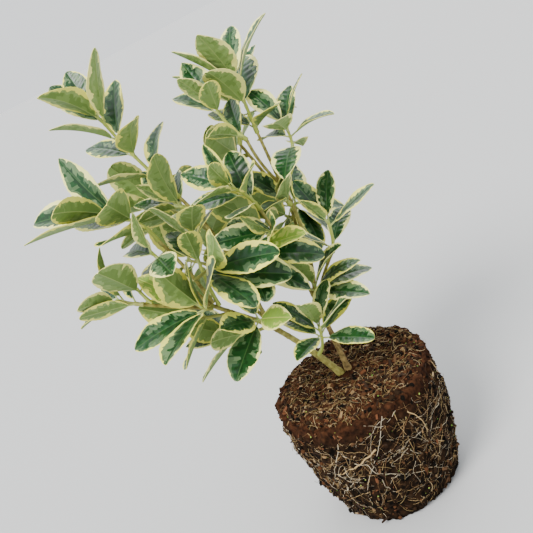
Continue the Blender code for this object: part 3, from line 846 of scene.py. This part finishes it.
twigs = []
shoot_stems, buds = Heap(), Heap()
for shoot in SHOOTS:
    way = way_at(shoot, 0)
    start = leave_parent(grown[shoot.parent], shoot.back, way, TWIG_FOOT)
    path = grow_path(start, shoot, TWIG_STEPS)
    end = way_at(shoot, 1)
    points = path[::TWIG_SKIP] + [path[-1] + end * BUD]
    steps = len(points) - 2
    radii = [TWIG_FOOT + (TWIG_TIP - TWIG_FOOT) * i / steps for i in range(steps + 1)]
    radii.append(TWIG_TIP * BUD_POINT)
    twigs.append({"shoot": shoot, "path": path, "tree": rod_tree(points, radii)})
    fine = max(LEAST_TWIG_FINE, int(shoot.length / TWIG_FINE_STEP))
    path = [start - way * TWIG_FOOT * SUNK] + grow_path(start, shoot, fine)
    radii = bark_radii(path, fine, shoot.length, TWIG_FOOT * TWIG_BARK, TWIG_TIP - TWIG_FOOT,
                       TWIG_COLLAR, pair_places(shoot), TWIG_RING)
    rod = sweep(path, radii, TWIG_SIDES, TWIG_ROUGH, TWIG_GRAIN)
    shoot_stems.add(*rod, 1 if shoot.rise < LOW_RISE else 0)
    bud_path = [path[-1] + end * BUD * f for f in BUD_ALONG]
    buds.add(*sweep(bud_path, [BUD * f for f in BUD_WIDTHS], BUD_SIDES), 0)
stem_piece = shoot_stems.make("shoot_stems", SHOOT_FINISHES, BARK_SHARP)
bud_piece = buds.make("shoot_buds", BUD_FINISHES, BUD_SHARP)
for piece in (stem_piece, bud_piece):
    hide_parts(*[shoot.name for shoot in SHOOTS])
    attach(piece, "root")


# Leaves: leathery blades on short stalks, widest past the middle, with blunt teeth along the edge.
# The upper side is glossy, dark green in the middle, grey-green round it and cream along the edge.
# The underside is matt sage with a pale edge and a raised rib. A few at the tips are yellow-green.
PETIOLE = 0.006
PETIOLE_RADIUS = 0.0008
LEAF_THICKNESS = 0.0011
LEAF_CUTS = (0.3, 0.62, 0.88)
WIDEST = 0.8
PAIR_TURN = 90.0
LIGHT_TURN = 0.3
LIGHT_EASE = 1.5
ASIDE = (0, 12, -12, 24, -24, 36, -36, 48, -48, 60, -60)
CLEARANCE = 0.0005
BLADE_FOOT = 1.4
# How one leaf differs from the next: its turn round the shoot and its spread, in degrees, its
# length and width in shares, its droop and fold in degrees, and how blunt its tip is.
TURN_STRAY = 22
SPREAD_STRAY = 12
LAST_LENGTH = 0.9
LENGTHS = (0.92, 1.26)
WIDTHS = (0.45, 0.58)
DROOPS = (5, 40)
FOLDS = (3, 20)
BLUNTS = (0.55, 0.95)
TIP_SEED = 1000
LOOK_SEED = 2000
Leaf = namedtuple("Leaf", "base forward side up psi spread length half_width droop fold blunt")


def deal_leaves(shoot, path):
    """Every leaf of a shoot, in crossing pairs, each a little unlike the next."""
    draw = np.random.default_rng(shoot.seed)
    tips = np.random.default_rng(shoot.seed + TIP_SEED)
    leaves = []
    for i, t in enumerate(pair_places(shoot)):
        k = t * TWIG_STEPS
        j = min(int(k), TWIG_STEPS - 1)
        base = path[j].lerp(path[j + 1], k - j)
        forward = way_at(shoot, t)
        heading = radians(shoot.heading + shoot.sweep * t)
        side = Vector((sin(heading), -cos(heading), 0.0))
        ahead = i / max(shoot.pairs - 1, 1)
        for half in (0, 1):
            psi = shoot.phase + PAIR_TURN * i + 180.0 * half + draw.uniform(-TURN_STRAY, TURN_STRAY)
            spread = shoot.spread + (shoot.close - shoot.spread) * ahead
            spread += draw.uniform(-SPREAD_STRAY, SPREAD_STRAY)
            last = LAST_LENGTH if i == shoot.pairs - 1 else 1.0
            length = shoot.leaf * MM * last * draw.uniform(*LENGTHS)
            half_width = length * draw.uniform(*WIDTHS) / 2
            droop, fold = draw.uniform(*DROOPS), draw.uniform(*FOLDS)
            blunt = tips.uniform(*BLUNTS)
            leaves.append((i, Leaf(base, forward, side, side.cross(forward), psi, spread, length,
                                   half_width, droop, fold, blunt)))
    return leaves


def blade_width(leaf, s):
    """Half the blade's width at a fraction of its length."""
    peak = WIDEST / (WIDEST + leaf.blunt)
    return leaf.half_width * (s / peak) ** WIDEST * ((1.0 - s) / (1.0 - peak)) ** leaf.blunt


def leaf_way(leaf, aside):
    """Directions of the petiole and of the upper face, which turns part of the way to the light."""
    psi, spread = radians(leaf.psi + aside), radians(leaf.spread)
    outward = cos(psi) * leaf.side + sin(psi) * leaf.up
    petiole = cos(spread) * leaf.forward + sin(spread) * outward
    face = sin(spread) * leaf.forward - cos(spread) * outward
    light = Vector((0.0, 0.0, 1.0)) - petiole.z * petiole
    turn = atan2(face.cross(light).dot(petiole), face.dot(light))
    turn *= LIGHT_TURN * min(1.0, light.length * LIGHT_EASE)
    return petiole, face * cos(turn) + petiole.cross(face) * sin(turn)


def section(middle, across, lift, rise=Vector()):
    """The four points of a cut through a leaf."""
    return (middle + across + rise, middle + lift, middle - across + rise, middle - lift)


def rough_leaf(leaf, aside, extra):
    """The leaf as a few four-point sections, which is what is tested for room."""
    way, face = leaf_way(leaf, aside)
    across = way.cross(face)
    droop, fold = radians(leaf.droop), radians(leaf.fold)
    thick, size = LEAF_THICKNESS / 2 + extra, PETIOLE_RADIUS + extra
    middle, last = leaf.base + way * PETIOLE, 0.0
    rings = [section(leaf.base, across * size, face * size),
             section(middle, across * size * BLADE_FOOT, face * size)]
    for s in (*LEAF_CUTS, 1.0):
        bend = droop * (s + last) / 2
        middle = middle + (cos(bend) * way - sin(bend) * face) * leaf.length * (s - last)
        last = s
        lift = cos(droop * s) * face + sin(droop * s) * way
        width = blade_width(leaf, s) + extra
        rise = lift * sin(fold) * width
        rings.append(section(middle, across * cos(fold) * width, lift * thick, rise))
    return rings[:-1], middle + way * extra


def rough_tree(rings, tip):
    """A search tree of the faces that join a leaf's sections."""
    points = [point for ring in rings for point in ring] + [tip]
    end = 4 * (len(rings) - 1)
    point_faces = [(end + k, end + (k + 1) % 4, end + 4) for k in range(4)]
    return BVHTree.FromPolygons(points, [(3, 2, 1, 0)] + tube_faces(len(rings), 4) + point_faces)


def find_room(leaf, others, siblings):
    """The angle that the leaf turns aside to clear all else, or None where it finds no room."""
    for aside in ASIDE:
        rings, tip = rough_leaf(leaf, aside, CLEARANCE)
        whole, blade = rough_tree(rings, tip), rough_tree(rings[2:], tip)
        if any(whole.overlap(other) for other in others):
            continue
        if not any(blade.overlap(other) for other in siblings):
            return aside
    return None


# A leaf's faces lie in rows from stalk to tip that slant forward as its side veins do, and in seven
# strips each side of the rib: one for the rib, two of dark green, two of grey-green and two of
# cream. The lines between the colours wander and jump from vein to vein.
ROWS = 40
HALF = 7
COLUMNS = 2 * HALF + 1
ROW_ENDS = (0.012, 0.992)
BLADE_ENDS = (0.012, 0.994)
LEAST_WIDTH = 0.0002
FOOT_WIDTH = 0.8
SLANT = 0.09
# Where cream and grey-green begin, in shares of the half blade from the rib: each line wanders
# between two limits, jumps by up to a step, and differs from leaf to leaf. Cream also has notches.
EDGE_SHARES = (-0.14, 0.04)
HEART_SHARES = (-0.25, 0.12)
CREAM_WANDER = (8, 0.76, 0.96)
CREAM_JUMP = 0.08
NOTCH = 0.45
NOTCH_FROM = 0.18
CREAM_LIMITS = (0.36, 0.95)
GREY_WANDER = (7, 0.38, 0.9)
GREY_JUMP = 0.22
GREY_FROM = 0.14
GREY_MARGIN = 0.05
RIB_HALF = 0.00042
MOST_RIB = 0.14
HELD_ROWS = (1, 5)
TOOTH = (0.0, 0.7, 1.0, 0.4)
TOOTH_DEPTH = 0.035
TOOTH_REACH = 6
TOOTH_FADE = 0.4
RIPPLES = 1.6
RIPPLE_DEPTH = 0.05
CUP_POWER = 1.25
CUP_EASE = 0.22
CUP_EASE_FROM = 0.55
CUP_EASE_POWER = 1.5
VEIN_ROWS = 5
VEIN_DEPTH = 0.00022
BLADE_EDGE = 0.00012
BLADE_MIDDLE = 0.00028
BLADE_TAPER = 0.6
GROOVE_DEPTH = 0.00022
RIDGE_DEPTH = 0.00062
RIDGE_REACH = 0.09


def blade_faces():
    """Faces of the upper side, the underside, the two edges and the two ends of a blade."""
    under = (ROWS + 1) * COLUMNS
    upper_faces, under_faces, rim_faces = [], [], []
    for i in range(ROWS):
        for j in range(COLUMNS - 1):
            a = i * COLUMNS + j
            upper_faces.append((a, a + 1, a + 1 + COLUMNS, a + COLUMNS))
            b = a + under
            under_faces.append((b, b + COLUMNS, b + 1 + COLUMNS, b + 1))
        a = i * COLUMNS
        rim_faces.append((a, a + COLUMNS, a + COLUMNS + under, a + under))
        a += COLUMNS - 1
        rim_faces.append((a, a + under, a + COLUMNS + under, a + COLUMNS))
    for j in range(COLUMNS - 1):
        rim_faces.append((j, j + under, j + 1 + under, j + 1))
        a = ROWS * COLUMNS + j
        rim_faces.append((a, a + 1, a + 1 + under, a + under))
    return upper_faces, under_faces, rim_faces


UPPER_FACES, UNDER_FACES, RIM_FACES = blade_faces()
BLADE_FACES = UPPER_FACES + UNDER_FACES + RIM_FACES


def wander(draw, knots, low, high):
    """A smooth random line over the rows of a leaf."""
    return np.interp(np.linspace(0, knots - 1, ROWS + 1), range(knots), draw.uniform(low, high, knots))


def jumps(draw, size):
    """Random steps that hold over a vein or two."""
    held = np.repeat(draw.uniform(-size, size, ROWS), draw.integers(*HELD_ROWS, ROWS))
    return held[:ROWS + 1]


def at_least(width, s):
    """The width, kept from closing to nothing at the stalk and at the tip."""
    return np.maximum(width, PETIOLE_RADIUS * FOOT_WIDTH * (1 - s) + LEAST_WIDTH)


def strip_lines(leaf, row, draw):
    """Where the strips of a blade begin, from edge to rib to edge, by row, in shares of its half."""
    width = at_least(blade_width(leaf, row), row)
    edge_share, heart_share = draw.uniform(*EDGE_SHARES), draw.uniform(*HEART_SHARES)
    halves = []
    for _ in (0, 1):
        cream = wander(draw, *CREAM_WANDER) + jumps(draw, CREAM_JUMP) + edge_share
        cream = np.clip(cream - np.maximum(0, jumps(draw, NOTCH) - NOTCH_FROM), *CREAM_LIMITS)
        grey = cream * (wander(draw, *GREY_WANDER) + jumps(draw, GREY_JUMP) + heart_share)
        grey = np.clip(grey, GREY_FROM, cream - GREY_MARGIN)
        rib = np.minimum(np.minimum(MOST_RIB, RIB_HALF / width), grey / 2)
        edge = np.ones(ROWS + 1)
        lines = [rib, (rib + grey) / 2, grey, (grey + cream) / 2, cream, (cream + edge) / 2, edge]
        halves.append(np.stack(lines, 1))
    return np.concatenate([-halves[0][:, ::-1], np.zeros((ROWS + 1, 1)), halves[1]], 1)


def build_blade(leaf, aside, draw):
    """Points of a blade, those of its upper side first, in rows of one point for each strip line."""
    way, face = (np.array(v) for v in leaf_way(leaf, aside))
    across = np.cross(way, face)
    droop, fold = radians(leaf.droop), radians(leaf.fold)
    row = np.linspace(*ROW_ENDS, ROWS + 1)
    u = strip_lines(leaf, row, draw)
    reach = np.abs(u)
    middling = np.sin(pi * row)[:, None]
    s = np.clip(row[:, None] + SLANT * reach * middling, *BLADE_ENDS)
    tooth = np.array([TOOTH[i % len(TOOTH)] for i in range(ROWS + 1)])[:, None]
    tooth = TOOTH_DEPTH * (tooth - 0.5) * reach ** TOOTH_REACH * middling ** TOOTH_FADE
    w = at_least(blade_width(leaf, s), s) * (1 + tooth)
    bend = droop * s
    start = np.array(leaf.base) + way * PETIOLE
    run = np.sin(bend) / droop * leaf.length
    sink = (1 - np.cos(bend)) / droop * leaf.length
    centre = start + run[..., None] * way - sink[..., None] * face
    lift = np.cos(bend)[..., None] * face + np.sin(bend)[..., None] * way
    wave = draw.uniform(0, 2 * pi, 2)[(u > 0).astype(int)]
    ripple = RIPPLE_DEPTH * np.sin(2 * pi * RIPPLES * s + wave) * reach ** 2
    ease = CUP_EASE * np.maximum(reach - CUP_EASE_FROM, 0) ** CUP_EASE_POWER
    cup = np.sin(fold) * (reach ** CUP_POWER - ease)
    veins = VEIN_DEPTH * np.cos(2 * pi * np.arange(ROWS + 1) / VEIN_ROWS)[:, None]
    veins = veins * np.sin(pi * np.clip(reach, 0, 1))
    height = w * (cup + ripple) - veins
    middle = centre + across * (np.cos(fold) * w * u)[..., None] + lift * height[..., None]
    taper = 1 - BLADE_TAPER * s
    thick = BLADE_MIDDLE + (BLADE_EDGE - BLADE_MIDDLE) * reach
    groove = GROOVE_DEPTH * taper * (reach < 1e-6)
    ridge = RIDGE_DEPTH * taper * np.clip(1 - reach / RIDGE_REACH, 0, 1)
    upper = middle + lift * (thick - groove)[..., None]
    under = middle - lift * (thick + ridge)[..., None]
    return np.concatenate([upper.reshape(-1, 3), under.reshape(-1, 3)])


# Finishes of the leaves, by side and strip. Each leaf takes one of the two shades of a colour, and
# patches of the other shade, or of the colour beside it, run along its veins.
LEAF_FINISHES = [plain(*row) for row in (
    ("upper_dark_a", (0.004, 0.034, 0.007), 0.3),
    ("upper_dark_b", (0.007, 0.056, 0.011), 0.3),
    ("upper_grey_a", (0.070, 0.135, 0.056), 0.4),
    ("upper_grey_b", (0.120, 0.200, 0.086), 0.4),
    ("upper_cream_a", (0.920, 0.870, 0.150), 0.4),
    ("upper_cream_b", (0.950, 0.920, 0.300), 0.4),
    ("upper_rib", (0.030, 0.095, 0.020), 0.4, 0.5),
    ("under_sage_a", (0.145, 0.238, 0.058), 0.6, 0.3),
    ("under_sage_b", (0.200, 0.305, 0.085), 0.6, 0.3),
    ("under_grey", (0.250, 0.355, 0.112), 0.6, 0.3),
    ("under_cream_a", (0.820, 0.790, 0.150), 0.6, 0.3),
    ("under_cream_b", (0.870, 0.840, 0.270), 0.6, 0.3),
    ("under_rib", (0.270, 0.360, 0.110), 0.55, 0.3),
    ("young_green", (0.22, 0.36, 0.05), 0.38),
    ("young_pale", (0.43, 0.51, 0.10), 0.4),
    ("petiole_green", (0.40, 0.46, 0.14), 0.5),
)]
(DARK, GREY, CREAM, RIB, SAGE, SAGE_GREY, SAGE_CREAM, SAGE_RIB, YOUNG, YOUNG_PALE, STALK) = (
    0, 2, 4, 6, 7, 9, 10, 12, 13, 14, 15)
PATCH_HOLD = 0.66
OTHER_SHADE = 0.3
OTHER_SAGE = 0.2
GREY_IN_DARK = 0.76
DARK_IN_GREY = {3: 0.62, 4: 0.82}
PALE_PATCH = 0.6
YOUNG_SHARE = 0.12


def blade_slots(draw, young):
    """The finish of each face of a blade. Patches of one shade run on from row to row."""
    shade = [int(draw.integers(0, 2)) for _ in range(4)]
    patch = draw.uniform(0, 1, (ROWS, COLUMNS - 1))
    for i in range(1, ROWS):
        kept = draw.uniform(0, 1, COLUMNS - 1) < PATCH_HOLD
        patch[i, kept] = patch[i - 1, kept]
    upper_slots, under_slots = [], []
    for odd_row in patch:
        for j, odd in enumerate(odd_row):
            strip = (HALF - 1 - j) if j < HALF else (j - HALF)
            dark = DARK + (1 - shade[0] if odd < OTHER_SHADE else shade[0])
            grey = GREY + (1 - shade[1] if odd < OTHER_SHADE else shade[1])
            if strip == 0:
                upper, under = RIB, SAGE_RIB
            elif strip < 3:
                upper = GREY + shade[1] if strip == 2 and odd > GREY_IN_DARK else dark
                under = SAGE + (1 - shade[3] if odd < OTHER_SAGE else shade[3])
            elif strip < 5:
                upper = DARK + 1 if odd > DARK_IN_GREY[strip] else grey
                under = SAGE + 1 if odd > PALE_PATCH else SAGE_GREY
            else:
                upper, under = CREAM + shade[2], SAGE_CREAM + shade[2]
            if young and strip < 5:
                green = strip in (1, 2) or (strip > 2 and odd > PALE_PATCH)
                upper = YOUNG if green else YOUNG_PALE
            upper_slots.append(upper)
            under_slots.append(under)
    return upper_slots + under_slots + [CREAM + shade[2]] * len(RIM_FACES)


# Outline of a leaf's stalk: how far along it, and how wide there, in stalk lengths and radii.
STALK_ALONG = (-0.1, 0.15, 0.4, 0.65, 0.9, 1.15, 1.4)
STALK_WIDTHS = (1.25, 1.1, 0.95, 0.9, 0.85, 0.7, 0.3)
STALK_SIDES = 8
# The leaves are joined into four pieces: those high up, at the left, at the back, and the rest.
PARTS = {"high": Heap(), "left": Heap(), "right": Heap(), "back": Heap()}
HIGH = ("high_left", "top", "top_left", "high_mid", "high_right", "mid", "mid_back")
LEFT = ("far_left", "mid_left", "round_pair", "front_left", "end_left", "low_left", "left_inner",
        "low_reach", "end_upper")


def part_of(shoot):
    """The piece that a shoot's leaves go into."""
    short = shoot.name.replace("foliage_", "")
    if short.startswith("back"):
        return "back"
    return "high" if short in HIGH else "left" if short in LEFT else "right"


wood_trees = [tree_of(frame["nodes"][limb.name].data) for limb in LIMBS]
shoots_of = {part: [] for part in PARTS}
settled = []
for twig in twigs:
    shoot = twig["shoot"]
    part = part_of(shoot)
    shoots_of[part].append(shoot.name)
    others = wood_trees + [other["tree"] for other in twigs if other is not twig] + settled
    looks = np.random.default_rng(shoot.seed + LOOK_SEED)
    siblings, own = [], []
    for pair, leaf in deal_leaves(shoot, twig["path"]):
        aside = find_room(leaf, others, siblings)
        if aside is None:
            continue
        rings, tip = rough_leaf(leaf, aside, 0.0)
        own.append(rough_tree(rings, tip))
        siblings.append(rough_tree(rings[2:], tip))
        young = pair == shoot.pairs - 1 and looks.uniform() < YOUNG_SHARE
        PARTS[part].add(build_blade(leaf, aside, looks), BLADE_FACES, blade_slots(looks, young))
        way = leaf_way(leaf, aside)[0]
        stalk = [leaf.base + way * (PETIOLE * f) for f in STALK_ALONG]
        stalk_radii = [PETIOLE_RADIUS * f for f in STALK_WIDTHS]
        PARTS[part].add(*sweep(stalk, stalk_radii, STALK_SIDES), STALK)
    settled += own
for part, heap in PARTS.items():
    leaf_piece = heap.make("leaves_" + part, LEAF_FINISHES)
    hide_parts(*shoots_of[part])
    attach(leaf_piece, "root")
